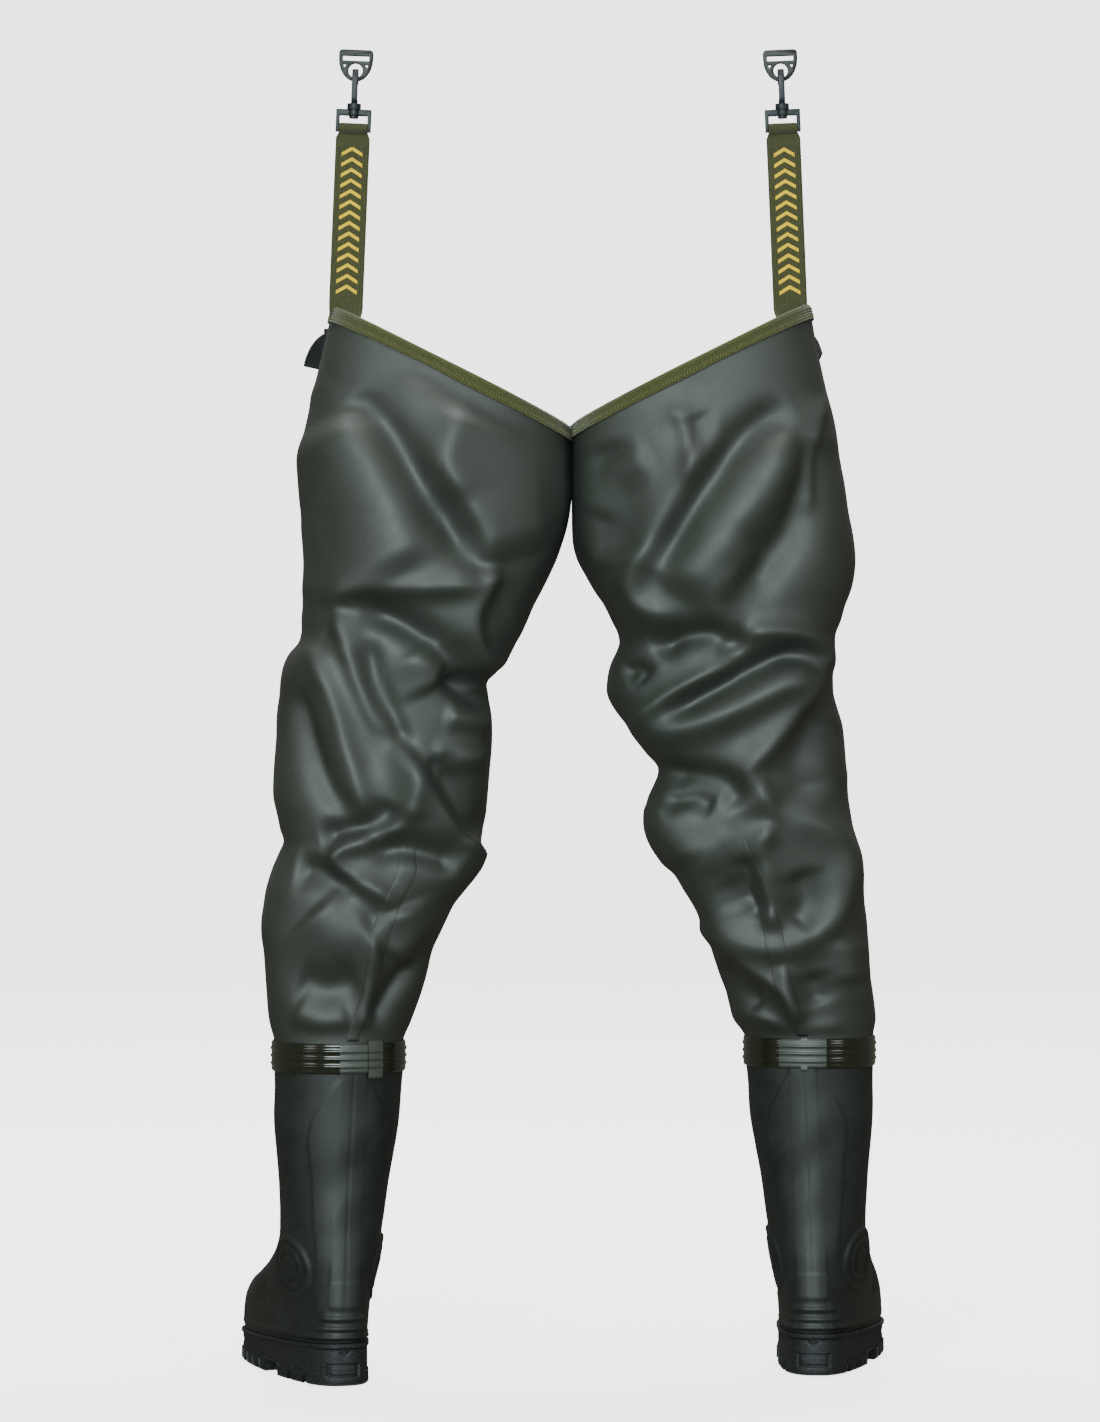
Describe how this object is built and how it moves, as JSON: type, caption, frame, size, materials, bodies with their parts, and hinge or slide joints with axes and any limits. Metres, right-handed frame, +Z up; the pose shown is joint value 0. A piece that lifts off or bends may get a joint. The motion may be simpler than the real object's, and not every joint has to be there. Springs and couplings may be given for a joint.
{
  "type": "hip waders",
  "caption": "Pair of hip waders: welded rubber boots and coated fabric legs with bound tops, elastic straps, swivel hooks and belt loops.",
  "frame": {"origin": "middle of the bounding box's underside, on the floor between the two boots", "axes": "+Z up, toes towards -Y, the wearer's left wader towards +X"},
  "size_m": [0.6012, 0.3894, 1.1924],
  "materials": {
    "outsole_pvc": "moulded PVC, stippled side wall, deep lugs",
    "insole_felt": "needled felt",
    "boot_pvc": "injection-moulded PVC, satin",
    "knit_lining": "knitted polyester",
    "band_pvc": "welded PVC band, glossy",
    "seam_pvc": "PVC welding tape, matte",
    "coated_fabric": "PVC-coated polyester fabric, smooth satin face",
    "binding_tape": "ribbed woven tape, stitched",
    "elastic_webbing": "woven elastic webbing",
    "black_webbing": "woven polypropylene webbing",
    "hook_acetal": "moulded acetal",
    "loop_nylon": "moulded nylon"
  },
  "bodies": {
    "left_wader": {"left_outsole": "outsole_pvc", "left_insole": "insole_felt", "left_boot_shell": "boot_pvc", "left_boot_lining": "knit_lining", "left_weld_band": "band_pvc", "left_band_patch": "seam_pvc", "left_leg": "coated_fabric", "left_back_seam": "seam_pvc", "left_top_binding": "binding_tape", "left_strap_anchor": "elastic_webbing", "left_thigh_strap": "black_webbing"},
    "left_strap": {"left_suspension_strap": "elastic_webbing"},
    "left_frame": {"left_strap_frame": "hook_acetal"},
    "left_hook": {"left_swivel_hook": "hook_acetal"},
    "left_gate": {"left_hook_gate": "hook_acetal"},
    "left_loop": {"left_belt_loop": "loop_nylon"},
    "left_lock": {"left_ladder_lock": "loop_nylon", "left_strap_tail": "black_webbing"},
    "right_wader": {"right_outsole": "outsole_pvc", "right_insole": "insole_felt", "right_boot_shell": "boot_pvc", "right_boot_lining": "knit_lining", "right_weld_band": "band_pvc", "right_band_patch": "seam_pvc", "right_leg": "coated_fabric", "right_back_seam": "seam_pvc", "right_top_binding": "binding_tape", "right_strap_anchor": "elastic_webbing", "right_thigh_strap": "black_webbing"},
    "right_strap": {"right_suspension_strap": "elastic_webbing"},
    "right_frame": {"right_strap_frame": "hook_acetal"},
    "right_hook": {"right_swivel_hook": "hook_acetal"},
    "right_gate": {"right_hook_gate": "hook_acetal"},
    "right_loop": {"right_belt_loop": "loop_nylon"},
    "right_lock": {"right_ladder_lock": "loop_nylon", "right_strap_tail": "black_webbing"}
  },
  "joints": [
    {"name": "left_strap_fold", "type": "hinge", "parent": "left_wader", "child": "left_strap", "pos_m": [0.19661, 0.12919, 0.96511], "axis": [-0.9991, 0, -0.0416], "range_deg": [-80, 110]},
    {"name": "left_frame_tilt", "type": "hinge", "parent": "left_strap", "child": "left_frame", "pos_m": [0.19007, 0.12919, 1.12197], "axis": [-0.9991, 0, -0.0416], "range_deg": [-75, 75]},
    {"name": "left_hook_swivel", "type": "hinge", "parent": "left_frame", "child": "left_hook", "pos_m": [0.18949, 0.12919, 1.13596], "axis": [-0.0416, 0, 0.9991], "continuous": true},
    {"name": "left_gate_swing", "type": "hinge", "parent": "left_hook", "child": "left_gate", "pos_m": [0.18896, 0.12319, 1.14855], "axis": [-0.9991, 0, -0.0416], "range_deg": [0, 20], "stiffness_Nm_per_rad": 0.02, "springref_deg": -2.86},
    {"name": "left_loop_swing", "type": "hinge", "parent": "left_hook", "child": "left_loop", "pos_m": [0.18826, 0.12919, 1.16548], "axis": [-0.9991, 0, -0.0416], "range_deg": [-70, 70]},
    {"name": "left_lock_swing", "type": "hinge", "parent": "left_wader", "child": "left_lock", "pos_m": [0.21003, 0.04399, 0.93486], "axis": [0, 0, -1], "range_deg": [0, 45]},
    {"name": "waders_apart", "type": "slide", "parent": "left_wader", "child": "right_wader", "axis": [-1, 0, 0], "range_m": [0, 0.15]},
    {"name": "right_strap_fold", "type": "hinge", "parent": "right_wader", "child": "right_strap", "pos_m": [-0.20146, 0.12919, 0.96511], "axis": [-0.9991, 0, 0.0416], "range_deg": [-80, 110]},
    {"name": "right_frame_tilt", "type": "hinge", "parent": "right_strap", "child": "right_frame", "pos_m": [-0.19493, 0.12919, 1.12197], "axis": [-0.9991, 0, 0.0416], "range_deg": [-75, 75]},
    {"name": "right_hook_swivel", "type": "hinge", "parent": "right_frame", "child": "right_hook", "pos_m": [-0.19434, 0.12919, 1.13596], "axis": [0.0416, 0, 0.9991], "continuous": true},
    {"name": "right_gate_swing", "type": "hinge", "parent": "right_hook", "child": "right_gate", "pos_m": [-0.19382, 0.12319, 1.14855], "axis": [-0.9991, 0, 0.0416], "range_deg": [0, 20], "stiffness_Nm_per_rad": 0.02, "springref_deg": -2.86},
    {"name": "right_loop_swing", "type": "hinge", "parent": "right_hook", "child": "right_loop", "pos_m": [-0.19312, 0.12919, 1.16548], "axis": [-0.9991, 0, 0.0416], "range_deg": [-70, 70]},
    {"name": "right_lock_swing", "type": "hinge", "parent": "right_wader", "child": "right_lock", "pos_m": [-0.21489, 0.04399, 0.93486], "axis": [0, 0, 1], "range_deg": [0, 45]}
  ]
}
